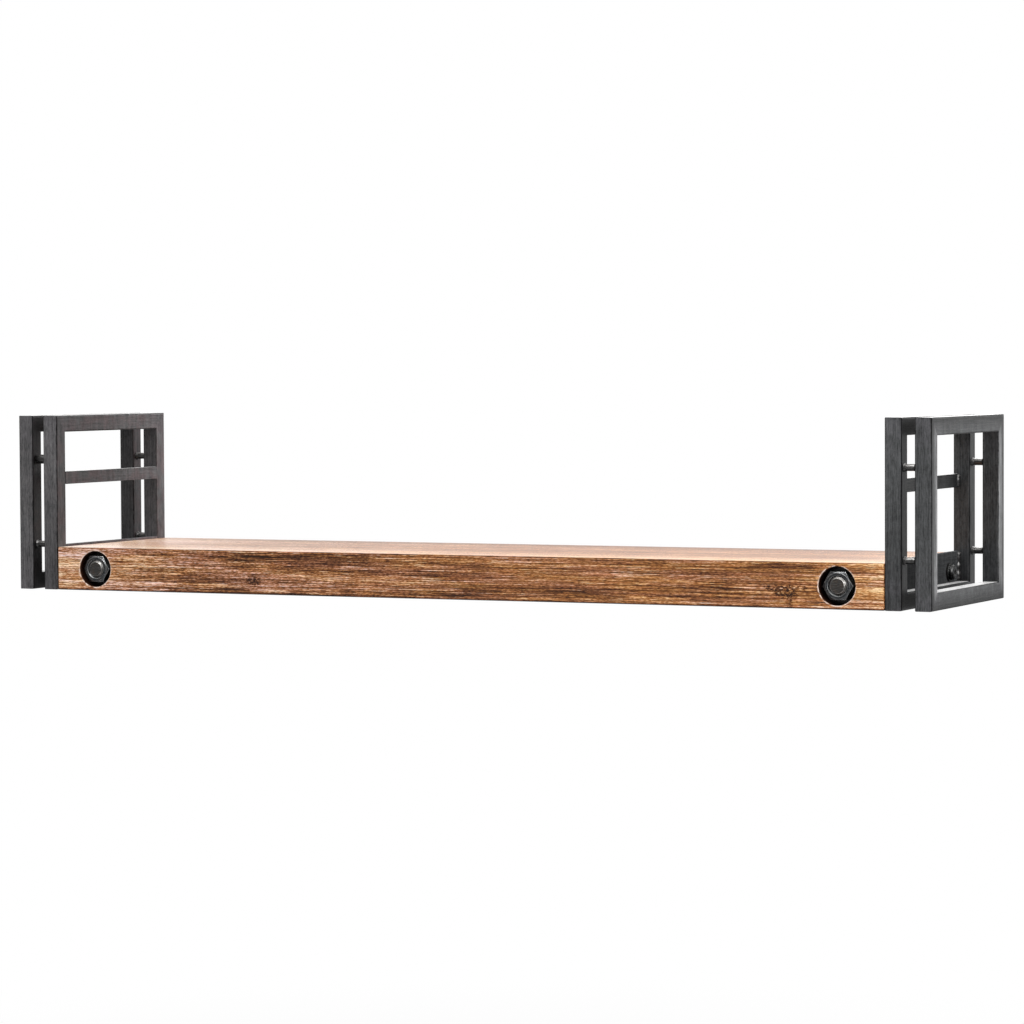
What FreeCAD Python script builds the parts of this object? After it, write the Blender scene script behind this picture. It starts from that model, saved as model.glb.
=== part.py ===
import FreeCAD, Part
import math
import os
import re

import Sketcher

# A wall shelf: one thick plank held between two welded end brackets.
# Each bracket is an inner and an outer frame of square tube, joined by four short round spacers.
# X runs along the plank, Y from the front to the wall, Z up. The origin is the middle of the
# shelf's underside, so the wall plane lies at half the overall depth. All lengths are millimetres.

SIZES = {
    # Whole shelf
    "overall_width": 914.4,
    "overall_depth": 198.0,
    "overall_height": 165.0,
    # Square tube of the frames
    "tube_width": 15.5,
    "tube_wall": 1.5,
    "tube_corner": 1.5,
    # Inner and outer frame of a bracket, and the round spacers between them
    "frame_gap": 11.5,
    "spacer_diameter": 6.0,
    "spacer_inset": 42.8,
    # Flat bar across an inner frame
    "bar_height": 12.0,
    "bar_thickness": 5.0,
    "bar_rise": 99.75,
    "bar_arris": 0.5,
    # Plate that carries one end of the plank
    "plate_thickness": 5.0,
    "plate_lip": 2.0,
    "plate_arris": 0.5,
    "plate_hole_slack": 0.5,
    # Plank
    "plank_thickness": 40.5,
    "plank_arris": 1.2,
    # Stud, nut and washer let into the front edge near each end
    "left_stud_distance": 41.2,
    "right_stud_distance": 43.2,
    "stud_diameter": 16.0,
    "stud_length": 60.0,
    "stud_chamfer": 1.4,
    "stud_stand": 0.9,
    "nut_recess": 1.5,
    "nut_across_flats": 24.0,
    "nut_face_share": 0.94,
    "nut_thickness": 13.0,
    "nut_countersink": 1.0,
    "stud_washer_diameter": 30.0,
    "stud_washer_slack": 0.5,
    "stud_washer_thickness": 3.0,
    "counterbore_clearance": 2.0,
    "counterbore_chamfer": 0.5,
    # Screws and washers that fasten the end plates to the plank
    "screw_diameter": 8.0,
    "screw_tip_run": 1.4,
    "screw_head_diameter": 14.0,
    "screw_head_height": 4.4,
    "screw_head_round": 3.0,
    "socket_across_flats": 5.0,
    "socket_depth": 2.6,
    "screw_front_distance": 75.0,
    "screw_back_distance": 43.0,
    "screw_above_rail": 9.5,
    "screw_washer_diameter": 16.0,
    "screw_washer_slack": 0.2,
    "screw_washer_thickness": 1.6,
    # Threaded insert in the plank's end for each of those screws
    "insert_wall": 2.0,
    "insert_length": 22.0,
    "insert_hole_run": 4.0,
    # Keyholes in the wall side of the inner frames' rear posts
    "keyhole_entry_diameter": 10.0,
    "keyhole_slot_width": 5.5,
    "keyhole_travel": 9.0,
    "keyhole_inset": 25.0,
}

# Turns in degrees
FULL_TURN = 360
HALF_TURN = 180
QUARTER_TURN = 90

HEXAGON_SIDES = 6
# Radians within which two directions count as the same
SAME_DIRECTION = 1e-6
# What a line or circle measures before its own size is bound to it
ROUGH = 1

# Lengths worked out from the sheet, written in its names
PLANK_LENGTH = "(overall_width - 4 * tube_width - 2 * frame_gap)"
PLANK_END = "(overall_width / 2 - 2 * tube_width - frame_gap)"
FRONT_FACE = "(-overall_depth / 2)"
WALL_FACE = "(overall_depth / 2)"
BETWEEN_POSTS = "(overall_depth - 2 * tube_width)"
COUNTERBORE_DIAMETER = "(stud_washer_diameter + 2 * counterbore_clearance)"
COUNTERBORE_DEPTH = "(nut_recess + nut_thickness + stud_washer_thickness)"
NUT_FACE_RADIUS = "(nut_across_flats * nut_face_share / 2)"
NUT_CHAMFER_SPREAD = "(nut_across_flats * nut_face_share / 2 + nut_thickness / 2 / tan(30 deg))"
CORNERS_PER_FLATS = "(1 / cos(30 deg))"
SCREW_RISE = "(tube_width + screw_above_rail)"
SCREW_TIP_DEPTH = "(insert_length + screw_tip_run)"
SCREW_LENGTH = "(plate_thickness + screw_washer_thickness + insert_length + screw_tip_run)"
INSERT_DIAMETER = "(screw_diameter + 2 * insert_wall)"
KEYHOLE_HANG = "(overall_height - keyhole_inset)"
KEYHOLE_ENTRY = "(overall_height - keyhole_inset - keyhole_travel)"

doc = FreeCAD.newDocument("wall_shelf")
sheet = doc.addObject("Spreadsheet::Sheet", "Sizes")
for row, (alias, size) in enumerate(SIZES.items(), start=1):
    sheet.set(f"A{row}", alias)
    sheet.set(f"B{row}", str(size))
    sheet.setAlias(f"B{row}", alias)
doc.recompute()

sub_parts = []


def in_sheet_names(expression):
    """The expression with each name of a size pointed at its cell in the sheet."""
    return re.sub("[a-z_]+", lambda word: f"Sizes.{word[0]}" if word[0] in SIZES else word[0], expression)


def bind(thing, path, expression):
    thing.setExpression(path, in_sheet_names(expression))


def place(thing, x, y, z, axis=(0, 0, 1), angle=0):
    """Turn a piece about its own origin, then bind that origin's place to the sheet."""
    turn = FreeCAD.Rotation(FreeCAD.Vector(*axis), angle)
    thing.Placement = FreeCAD.Placement(FreeCAD.Vector(), turn)
    bind(thing, "Placement.Base.x", x)
    bind(thing, "Placement.Base.y", y)
    bind(thing, "Placement.Base.z", z)


def as_sub_part(thing, label):
    thing.Label = label
    sub_parts.append(thing)


# Sketches

def new_sketch(body, name, plane_role, lift=None):
    """A sketch on one of the body's own origin planes, lifted along its normal if asked."""
    sketch = body.newObject("Sketcher::SketchObject", name)
    plane = next(feature for feature in body.Origin.OriginFeatures if feature.Role == plane_role)
    sketch.AttachmentSupport = [(plane, "")]
    sketch.MapMode = "FlatFace"
    if lift:
        bind(sketch, "AttachmentOffset.Base.z", lift)
    return sketch


def pin_point(sketch, geometry, point, x, y):
    """Hold a point of the sketch at x and y from the sketch's origin."""
    for kind, axis_line, expression in (("DistanceX", -2, x), ("DistanceY", -1, y)):
        if expression == "0":
            sketch.addConstraint(Sketcher.Constraint("PointOnObject", geometry, point, axis_line))
        else:
            index = sketch.addConstraint(Sketcher.Constraint(kind, -1, 1, geometry, point, ROUGH))
            bind(sketch, f"Constraints[{index}]", expression)


def closed_lines(sketch, count):
    """A closed chain of straight lines, roughly round, for constraints to pull into shape."""
    turns = [2 * math.pi * number / count for number in range(count)]
    rough = [FreeCAD.Vector(math.cos(turn), math.sin(turn), 0) for turn in turns]
    ends = rough[1:] + rough[:1]
    lines = [sketch.addGeometry(Part.LineSegment(start, end)) for start, end in zip(rough, ends)]
    for number, line in enumerate(lines):
        sketch.addConstraint(Sketcher.Constraint("Coincident", lines[number - 1], 2, line, 1))
    return lines


def draw_outline(sketch, corners):
    for line, (x, y) in zip(closed_lines(sketch, len(corners)), corners):
        pin_point(sketch, line, 1, x, y)


def draw_rectangle(sketch, low_x, low_y, high_x, high_y):
    draw_outline(sketch, [(low_x, low_y), (high_x, low_y), (high_x, high_y), (low_x, high_y)])


def add_circle(sketch, diameter, construction=False):
    circle = sketch.addGeometry(Part.Circle(FreeCAD.Vector(), FreeCAD.Vector(0, 0, 1), ROUGH), construction)
    index = sketch.addConstraint(Sketcher.Constraint("Diameter", circle, ROUGH))
    bind(sketch, f"Constraints[{index}]", diameter)
    return circle


def draw_circle(sketch, x, y, diameter):
    pin_point(sketch, add_circle(sketch, diameter), 3, x, y)


def draw_hexagon(sketch, across_flats):
    """A regular hexagon about the sketch's origin, with two corners on its X axis."""
    corner_circle = add_circle(sketch, f"{across_flats} * {CORNERS_PER_FLATS}", construction=True)
    sketch.addConstraint(Sketcher.Constraint("Coincident", corner_circle, 3, -1, 1))
    lines = closed_lines(sketch, HEXAGON_SIDES)
    for line in lines:
        sketch.addConstraint(Sketcher.Constraint("PointOnObject", line, 1, corner_circle))
    for line in lines[1:]:
        sketch.addConstraint(Sketcher.Constraint("Equal", lines[0], line))
    sketch.addConstraint(Sketcher.Constraint("PointOnObject", lines[0], 1, -1))


# Features of a body

def new_body(name):
    return doc.addObject("PartDesign::Body", name)


def pad(body, sketch, length, reverse=False):
    feature = body.newObject("PartDesign::Pad", f"{body.Name}_pad")
    feature.Profile = sketch
    feature.Reversed = reverse
    bind(feature, "Length", length)
    doc.recompute()
    return feature


def pocket(body, sketch, depth=None, reverse=False):
    """Cut the sketch to a depth, or right through, and make sure that it removed material."""
    before = body.Shape.Volume
    feature = body.newObject("PartDesign::Pocket", f"{sketch.Name}_cut")
    feature.Profile = sketch
    feature.Reversed = reverse
    if depth:
        bind(feature, "Length", depth)
    else:
        feature.Type = "ThroughAll"
    doc.recompute()
    if not body.Shape.Volume < before:
        raise RuntimeError(f"{sketch.Name} cuts nothing")
    return feature


def round_edges(body, base, edge_numbers, radius):
    feature = body.newObject("PartDesign::Fillet", f"{body.Name}_round")
    feature.Base = (base, [f"Edge{number}" for number in edge_numbers])
    bind(feature, "Radius", radius)
    doc.recompute()


def chamfer_edges(body, base, edge_numbers, size):
    feature = body.newObject("PartDesign::Chamfer", f"{body.Name}_chamfer")
    feature.Base = (base, [f"Edge{number}" for number in edge_numbers])
    bind(feature, "Size", size)
    doc.recompute()


def full_circles(shape):
    """Number and edge of each edge that closes on itself."""
    return [(number, edge) for number, edge in enumerate(shape.Edges, start=1) if len(edge.Vertexes) == 1]


def round_long_edges(body, bar, direction, radius):
    """Round the straight edges of a bar that run along it."""
    found = []
    for number, edge in enumerate(bar.Shape.Edges, start=1):
        along = edge.Vertexes[-1].Point - edge.Vertexes[0].Point
        angle = along.getAngle(FreeCAD.Vector(*direction))
        if min(angle, math.pi - angle) < SAME_DIRECTION:
            found.append(number)
    round_edges(body, bar, found, radius)


# Frames of square tube

def mitred_tube(name, length):
    """A square tube along local Z whose ends are cut at 45 degrees.

    Its outer side, the long one, lies on local Y = 0. The inner side is shorter by the width
    of a tube at each end.
    """
    body = new_body(name)
    side = new_sketch(body, f"{name}_side", "YZ_Plane")
    inner_end = f"{length} - tube_width"
    draw_outline(side, [("0", "0"), ("tube_width", "tube_width"), ("tube_width", inner_end), ("0", length)])
    bar = pad(body, side, "tube_width")
    round_long_edges(body, bar, (0, 0, 1), "tube_corner")
    bore = new_sketch(body, f"{name}_bore", "XY_Plane")
    far_wall = "tube_width - tube_wall"
    draw_rectangle(bore, "tube_wall", "tube_wall", far_wall, far_wall)
    pocket(body, bore, reverse=True)
    return body


def cut_keyhole(body):
    """A round entry for a wall screw's head and a narrow slot above it, in the outer side only."""
    middle = "tube_width / 2"
    reach = "2 * tube_wall"
    entry = new_sketch(body, f"{body.Name}_keyhole_entry", "XZ_Plane")
    draw_circle(entry, middle, KEYHOLE_ENTRY, "keyhole_entry_diameter")
    pocket(body, entry, reach)
    slot = new_sketch(body, f"{body.Name}_keyhole_slot", "XZ_Plane")
    slot_left = f"{middle} - keyhole_slot_width / 2"
    slot_right = f"{middle} + keyhole_slot_width / 2"
    draw_rectangle(slot, slot_left, KEYHOLE_ENTRY, slot_right, KEYHOLE_HANG)
    pocket(body, slot, reach)
    slot_end = new_sketch(body, f"{body.Name}_keyhole_end", "XZ_Plane")
    draw_circle(slot_end, middle, KEYHOLE_HANG, "keyhole_slot_width")
    pocket(body, slot_end, reach)


def add_frame(name, low_x, keyhole=False):
    """Two posts and two rails, mitred at the corners. low_x is the frame's side of lowest X."""
    high_x = f"{low_x} + tube_width"
    front_post = mitred_tube(f"{name}_front_post", "overall_height")
    place(front_post, low_x, FRONT_FACE, "0")
    rear_post = mitred_tube(f"{name}_rear_post", "overall_height")
    if keyhole:
        cut_keyhole(rear_post)
    place(rear_post, high_x, WALL_FACE, "0", (0, 0, 1), HALF_TURN)
    top_rail = mitred_tube(f"{name}_top_rail", "overall_depth")
    place(top_rail, low_x, FRONT_FACE, "overall_height", (1, 0, 0), -QUARTER_TURN)
    bottom_rail = mitred_tube(f"{name}_bottom_rail", "overall_depth")
    place(bottom_rail, high_x, FRONT_FACE, "0", (0, 1, 1), HALF_TURN)
    for tube in (front_post, rear_post, top_rail, bottom_rail):
        as_sub_part(tube, tube.Name)


def add_spacer(name, low_x, y, z):
    """Round pin welded between the posts of the inner and the outer frame."""
    pin = doc.addObject("Part::Cylinder", name)
    bind(pin, "Radius", "spacer_diameter / 2")
    bind(pin, "Height", "frame_gap")
    place(pin, low_x, y, z, (0, 1, 0), QUARTER_TURN)
    as_sub_part(pin, name)


# Flat pieces between the posts of an inner frame

def flat_bar(name, thickness, height, arris):
    """A bar along local Y that fills the space between the posts."""
    body = new_body(name)
    section = new_sketch(body, f"{name}_section", "XZ_Plane")
    draw_rectangle(section, "0", "0", thickness, height)
    bar = pad(body, section, BETWEEN_POSTS, reverse=True)
    round_long_edges(body, bar, (0, 1, 0), arris)
    return body


def add_mid_bar(name, low_x):
    """Flat bar flush with the plank side of its frame."""
    bar = flat_bar(name, "bar_thickness", "bar_height", "bar_arris")
    place(bar, low_x, f"{FRONT_FACE} + tube_width", "bar_rise")
    as_sub_part(bar, name)


def add_end_plate(name, low_x):
    """Plate on the bottom rail, flush with the plank side. The plank's end is screwed to it."""
    height = "(plank_thickness + plate_lip - tube_width)"
    plate = flat_bar(name, "plate_thickness", height, "plate_arris")
    holes = new_sketch(plate, f"{name}_holes", "YZ_Plane")
    hole_diameter = "screw_diameter + 2 * plate_hole_slack"
    for from_front in ("screw_front_distance", "overall_depth - screw_back_distance"):
        draw_circle(holes, f"{from_front} - tube_width", "screw_above_rail", hole_diameter)
    pocket(plate, holes, reverse=True)
    place(plate, low_x, f"{FRONT_FACE} + tube_width", "tube_width")
    as_sub_part(plate, name)


# Brackets

def add_bracket(side, is_right):
    """One end of the shelf. Each layer is named with the distances of its two faces from the plank."""
    layers = {
        "inner_frame": ("0", "tube_width"),
        "gap": ("tube_width", "(tube_width + frame_gap)"),
        "outer_frame": ("(tube_width + frame_gap)", "(2 * tube_width + frame_gap)"),
        "bar": ("0", "bar_thickness"),
        "plate": ("0", "plate_thickness"),
    }
    low_x = {
        layer: f"{PLANK_END} + {near}" if is_right else f"-({PLANK_END} + {far})"
        for layer, (near, far) in layers.items()
    }
    add_frame(f"{side}_inner", low_x["inner_frame"], keyhole=True)
    add_frame(f"{side}_outer", low_x["outer_frame"])
    add_mid_bar(f"{side}_mid_bar", low_x["bar"])
    add_end_plate(f"{side}_end_plate", low_x["plate"])
    front_middle = f"{FRONT_FACE} + tube_width / 2"
    rear_middle = f"{WALL_FACE} - tube_width / 2"
    for level, z in (("lower", "spacer_inset"), ("upper", "overall_height - spacer_inset")):
        add_spacer(f"{side}_{level}_front_spacer", low_x["gap"], front_middle, z)
        add_spacer(f"{side}_{level}_rear_spacer", low_x["gap"], rear_middle, z)


# Plank

def add_plank():
    body = new_body("plank")
    end_face = new_sketch(body, "plank_end", "YZ_Plane")
    draw_rectangle(end_face, "0", "0", "overall_depth", "plank_thickness")
    board = pad(body, end_face, PLANK_LENGTH)
    all_edges = range(1, len(board.Shape.Edges) + 1)
    round_edges(body, board, all_edges, "plank_arris")
    counterbores = new_sketch(body, "plank_counterbores", "XZ_Plane")
    stud_holes = new_sketch(body, "plank_stud_holes", "XZ_Plane")
    for x in ("left_stud_distance", f"{PLANK_LENGTH} - right_stud_distance"):
        draw_circle(counterbores, x, "plank_thickness / 2", COUNTERBORE_DIAMETER)
        draw_circle(stud_holes, x, "plank_thickness / 2", "stud_diameter")
    bored = pocket(body, counterbores, COUNTERBORE_DEPTH)
    # The rims of the two counterbores lie nearest to the front
    circles = sorted(full_circles(bored.Shape), key=lambda circle: circle[1].CenterOfMass.y)
    mouths = [number for number, edge in circles[:2]]
    chamfer_edges(body, bored, mouths, "counterbore_chamfer")
    pocket(body, stud_holes, "nut_recess - stud_stand + stud_length")
    for side, lift, reverse in (("left", None, True), ("right", PLANK_LENGTH, False)):
        insert_holes = new_sketch(body, f"plank_{side}_insert_holes", "YZ_Plane", lift)
        for y in ("screw_front_distance", "overall_depth - screw_back_distance"):
            draw_circle(insert_holes, y, SCREW_RISE, INSERT_DIAMETER)
        pocket(body, insert_holes, "insert_length + insert_hole_run", reverse)
    place(body, f"-{PLANK_END}", FRONT_FACE, "0")
    as_sub_part(body, "plank")


# Fasteners

def cylinder(name, diameter, height):
    solid = doc.addObject("Part::Cylinder", name)
    bind(solid, "Radius", f"({diameter}) / 2")
    bind(solid, "Height", height)
    return solid


def cone(name, low_radius, high_radius, height):
    solid = doc.addObject("Part::Cone", name)
    bind(solid, "Radius1", low_radius)
    bind(solid, "Radius2", high_radius)
    bind(solid, "Height", height)
    return solid


def combine(kind, name, base, tool):
    """A Part boolean of two solids. kind is Cut, Fuse or Common."""
    result = doc.addObject(f"Part::{kind}", name)
    result.Base = base
    result.Tool = tool
    return result


def ring(name, diameter, bore, thickness):
    disc = cylinder(f"{name}_disc", diameter, thickness)
    hole = cylinder(f"{name}_hole", bore, thickness)
    return combine("Cut", name, disc, hole)


def nut(name):
    """Hexagonal nut along local Z, chamfered and countersunk at both faces."""
    hexagon = doc.addObject("Part::Prism", f"{name}_hexagon")
    hexagon.Polygon = HEXAGON_SIDES
    bind(hexagon, "Circumradius", f"nut_across_flats / 2 * {CORNERS_PER_FLATS}")
    bind(hexagon, "Height", "nut_thickness")
    low_cone = cone(f"{name}_low_cone", NUT_FACE_RADIUS, NUT_CHAMFER_SPREAD, "nut_thickness / 2")
    high_cone = cone(f"{name}_high_cone", NUT_CHAMFER_SPREAD, NUT_FACE_RADIUS, "nut_thickness / 2")
    bind(high_cone, "Placement.Base.z", "nut_thickness / 2")
    chamfers = combine("Fuse", f"{name}_chamfers", low_cone, high_cone)
    block = combine("Common", f"{name}_block", hexagon, chamfers)
    bore = cylinder(f"{name}_bore", "stud_diameter", "nut_thickness")
    stud_radius = "stud_diameter / 2"
    mouth = f"{stud_radius} + nut_countersink"
    low_sink = cone(f"{name}_low_sink", mouth, stud_radius, "nut_countersink")
    high_sink = cone(f"{name}_high_sink", stud_radius, mouth, "nut_countersink")
    bind(high_sink, "Placement.Base.z", "nut_thickness - nut_countersink")
    sinks = combine("Fuse", f"{name}_sinks", low_sink, high_sink)
    hole = combine("Fuse", f"{name}_bored_sinks", bore, sinks)
    return combine("Cut", name, block, hole)


def stud(name):
    """Round stud along local Z. Its outer end, at local Z = 0, is chamfered."""
    tip = cone(f"{name}_tip", "stud_diameter / 2 - stud_chamfer", "stud_diameter / 2", "stud_chamfer")
    rod = cylinder(f"{name}_rod", "stud_diameter", "stud_length - stud_chamfer")
    bind(rod, "Placement.Base.z", "stud_chamfer")
    return combine("Fuse", name, rod, tip)


def end_screw(name):
    """Button-head socket screw along local Z, with the tip of its shank at the origin."""
    body = new_body(name)
    profile = new_sketch(body, f"{name}_profile", "XZ_Plane")
    shank = "screw_diameter / 2"
    head = "screw_head_diameter / 2"
    top = f"{SCREW_LENGTH} + screw_head_height"
    outline = [("0", "0"), (shank, "0"), (shank, SCREW_LENGTH), (head, SCREW_LENGTH), (head, top), ("0", top)]
    draw_outline(profile, outline)
    turned = body.newObject("PartDesign::Revolution", f"{name}_turned")
    turned.Profile = profile
    turned.ReferenceAxis = (profile, ["V_Axis"])
    turned.Angle = FULL_TURN
    doc.recompute()
    rim, _ = max(full_circles(turned.Shape), key=lambda circle: circle[1].CenterOfMass.z)
    round_edges(body, turned, [rim], "screw_head_round")
    socket = new_sketch(body, f"{name}_socket", "XY_Plane", top)
    draw_hexagon(socket, "socket_across_flats")
    pocket(body, socket, "socket_depth")
    return body


def add_group(label, copies):
    """Identical fasteners kept as separate solids of one sub-part."""
    group = doc.addObject("Part::Compound", label)
    group.Links = copies
    as_sub_part(group, label)


def add_front_fasteners():
    """Studs, nuts and washers in the counterbores, square to the front edge of the plank."""
    studs, nuts, washers = [], [], []
    nut_face = f"{FRONT_FACE} + nut_recess"
    washer_bore = "stud_diameter + 2 * stud_washer_slack"
    for side, sign in (("left", "-"), ("right", "")):
        x = f"{sign}({PLANK_END} - {side}_stud_distance)"
        studs.append(stud(f"{side}_stud"))
        nuts.append(nut(f"{side}_nut"))
        washers.append(ring(f"{side}_washer", "stud_washer_diameter", washer_bore, "stud_washer_thickness"))
        for piece, y in (
            (studs[-1], f"{nut_face} - stud_stand"),
            (nuts[-1], nut_face),
            (washers[-1], f"{nut_face} + nut_thickness"),
        ):
            place(piece, x, y, "plank_thickness / 2", (1, 0, 0), -QUARTER_TURN)
    add_group("front_studs", studs)
    add_group("front_nuts", nuts)
    add_group("front_washers", washers)


def add_end_fasteners():
    """Screws and washers outside each end plate, with their inserts in the plank's ends."""
    screws, washers, inserts = [], [], []
    washer_bore = "screw_diameter + 2 * screw_washer_slack"
    stations = {
        "front": f"{FRONT_FACE} + screw_front_distance",
        "rear": f"{WALL_FACE} - screw_back_distance",
    }
    for side, sign, angle in (("left", "-", -QUARTER_TURN), ("right", "", QUARTER_TURN)):
        for station, y in stations.items():
            name = f"{side}_{station}"
            screws.append(end_screw(f"{name}_screw"))
            washers.append(
                ring(f"{name}_screw_washer", "screw_washer_diameter", washer_bore, "screw_washer_thickness")
            )
            inserts.append(ring(f"{name}_insert", INSERT_DIAMETER, "screw_diameter", "insert_length"))
            for piece, x in (
                (screws[-1], f"{PLANK_END} - {SCREW_TIP_DEPTH}"),
                (washers[-1], f"{PLANK_END} + plate_thickness"),
                (inserts[-1], f"{PLANK_END} - insert_length"),
            ):
                place(piece, f"{sign}({x})", y, SCREW_RISE, (0, 1, 0), angle)
    add_group("end_screws", screws)
    add_group("end_screw_washers", washers)
    add_group("threaded_inserts", inserts)


def check_and_write():
    """Stop on any failed object or bad shape, then write one file for each sub-part."""
    doc.recompute()
    for thing in doc.Objects:
        if {"Invalid", "Error"} & set(thing.State):
            raise RuntimeError(f"{thing.Label} failed: {thing.State}")
    for piece in sub_parts:
        if piece.Shape.isNull() or not piece.Shape.isValid():
            raise RuntimeError(f"{piece.Label} has a bad shape")
    os.makedirs("parts", exist_ok=True)
    for piece in sub_parts:
        piece.Shape.exportStep(os.path.join("parts", f"{piece.Label}.step"))
    print(len(sub_parts), "sub-parts written")


add_plank()
add_bracket("left", is_right=False)
add_bracket("right", is_right=True)
add_front_fasteners()
add_end_fasteners()
check_and_write()
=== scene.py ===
import math
import random

import bmesh
import bpy
from mathutils import Matrix, Vector


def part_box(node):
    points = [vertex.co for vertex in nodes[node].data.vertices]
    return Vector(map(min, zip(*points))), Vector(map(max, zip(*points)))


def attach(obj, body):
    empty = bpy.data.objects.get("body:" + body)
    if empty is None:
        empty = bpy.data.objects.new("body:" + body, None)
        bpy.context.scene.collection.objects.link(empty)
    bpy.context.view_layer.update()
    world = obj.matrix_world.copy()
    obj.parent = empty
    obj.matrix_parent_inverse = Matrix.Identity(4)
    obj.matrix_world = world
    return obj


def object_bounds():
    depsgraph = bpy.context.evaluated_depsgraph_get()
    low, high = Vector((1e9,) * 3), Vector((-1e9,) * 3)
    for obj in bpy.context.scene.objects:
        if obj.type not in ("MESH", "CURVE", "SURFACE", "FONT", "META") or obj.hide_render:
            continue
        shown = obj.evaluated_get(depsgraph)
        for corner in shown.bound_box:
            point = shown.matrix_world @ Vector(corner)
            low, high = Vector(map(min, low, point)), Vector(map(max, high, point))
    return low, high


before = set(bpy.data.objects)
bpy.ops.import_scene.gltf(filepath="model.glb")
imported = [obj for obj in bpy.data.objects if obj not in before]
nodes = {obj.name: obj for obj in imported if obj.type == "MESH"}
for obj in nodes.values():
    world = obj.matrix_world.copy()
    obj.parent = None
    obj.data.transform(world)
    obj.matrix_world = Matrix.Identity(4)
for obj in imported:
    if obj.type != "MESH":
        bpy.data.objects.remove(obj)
cad_low, cad_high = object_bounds()
scene = bpy.context.scene

MM = 0.001
PER_METRE = 1 / MM
WHITE = (1.0, 1.0, 1.0, 1.0)


# Shader tools

# Sockets of the Mix node that carry colours: its two inputs and its result
MIX_FIRST = 6
MIX_SECOND = 7
MIX_RESULT = 2
# The curve that turns a picture's values into light: its straight part, then its curved part
CURVE_START = 0.04045
STRAIGHT_SLOPE = 12.92
CURVE_OFFSET = 0.055
CURVE_POWER = 2.4


class Net:
    """Adds nodes to one tree. An input is fed with a plain value or with the output of another node."""

    def __init__(self, tree):
        self.tree = tree

    def add(self, kind, inputs=(), **settings):
        node = self.tree.nodes.new(f"ShaderNode{kind}")
        for name, value in settings.items():
            setattr(node, name, value)
        for key, value in dict(inputs).items():
            self.feed(node.inputs[key], value)
        return node

    def feed(self, socket, value):
        if isinstance(value, bpy.types.NodeSocket):
            self.tree.links.new(value, socket)
        else:
            socket.default_value = value

    def math(self, operation, *values):
        return self.add("Math", enumerate(values), operation=operation).outputs[0]

    def plus(self, first, *others):
        for other in others:
            first = self.math("ADD", first, other)
        return first

    def minus(self, first, second):
        return self.math("SUBTRACT", first, second)

    def times(self, first, *others):
        for other in others:
            first = self.math("MULTIPLY", first, other)
        return first

    def highest(self, first, *others):
        for other in others:
            first = self.math("MAXIMUM", first, other)
        return first

    def absolute(self, value):
        return self.math("ABSOLUTE", value)

    def clamp(self, value):
        return self.add("Clamp", {"Value": value}).outputs[0]

    def vector(self, operation, *values):
        node = self.add("VectorMath", enumerate(values), operation=operation)
        return node.outputs["Value" if operation in ("DOT_PRODUCT", "LENGTH") else "Vector"]

    def combine(self, x, y, z):
        return self.add("CombineXYZ", {"X": x, "Y": y, "Z": z}).outputs[0]

    def split(self, vector):
        return self.add("SeparateXYZ", {"Vector": vector}).outputs

    def normal(self):
        """The way that each point of the surface faces."""
        return self.add("NewGeometry").outputs["Normal"]

    def noise(self, vector, detail=2.0, roughness=0.5):
        inputs = {"Vector": vector, "Scale": 1.0, "Detail": detail, "Roughness": roughness}
        return self.add("TexNoise", inputs).outputs

    def ease(self, value, low, high, start=0.0, end=1.0):
        """A soft step: start where the value is at low, end where it is at high."""
        inputs = {"Value": value, "From Min": low, "From Max": high, "To Min": start, "To Max": end}
        return self.add("MapRange", inputs, interpolation_type="SMOOTHSTEP").outputs[0]

    def mix(self, factor, first, second, blend="MIX"):
        inputs = {"Factor": factor, MIX_FIRST: first, MIX_SECOND: second}
        return self.add("Mix", inputs, data_type="RGBA", blend_type=blend).outputs[MIX_RESULT]

    def mix_shaders(self, factor, first, second):
        return self.add("MixShader", enumerate((factor, first, second))).outputs[0]

    def ramp(self, value, stops):
        node = self.add("ValToRGB", {"Fac": value})
        marks = node.color_ramp.elements
        while len(marks) < len(stops):
            marks.new(1.0)
        for mark, (position, colour) in zip(marks, stops):
            mark.position = position
            mark.color = colour
        return node.outputs["Color"]

    def bump(self, strength, distance, height):
        """The normal over bumps whose full height is a distance in millimetres."""
        inputs = {"Strength": strength, "Distance": distance * MM, "Height": height}
        return self.add("Bump", inputs).outputs["Normal"]

    def shared(self, group, inputs):
        node = self.add("Group", node_tree=group)
        for key, value in inputs.items():
            self.feed(node.inputs[key], value)
        return node.outputs[0]


def new_group(name, inputs, output):
    """An empty shared effect: its net, the sockets it reads, and the input of its one output."""
    group = bpy.data.node_groups.new(name, "ShaderNodeTree")
    for label, (kind, value) in inputs.items():
        socket = group.interface.new_socket(label, in_out="INPUT", socket_type=f"NodeSocket{kind}")
        if value is not None:
            socket.default_value = value
    group.interface.new_socket(output, in_out="OUTPUT", socket_type="NodeSocketFloat")
    net = Net(group)
    given = group.nodes.new("NodeGroupInput").outputs
    result = group.nodes.new("NodeGroupOutput").inputs[0]
    return group, net, given, result


def new_material(name):
    """An empty material: its net, and the inputs of its Principled shader, already joined to the output."""
    material = bpy.data.materials.new(name)
    material.use_nodes = True
    material.node_tree.nodes.clear()
    net = Net(material.node_tree)
    shader = net.add("BsdfPrincipled")
    output = net.add("OutputMaterial")
    net.feed(output.inputs["Surface"], shader.outputs["BSDF"])
    return material, net, shader.inputs


def set_constants(finish, values):
    """Sets what is the same all over a finish."""
    for name, value in values.items():
        finish[name].default_value = value


def to_light(value):
    share = value / 255
    if share <= CURVE_START:
        return share / STRAIGHT_SLOPE
    return ((share + CURVE_OFFSET) / (1 + CURVE_OFFSET)) ** CURVE_POWER


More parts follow.
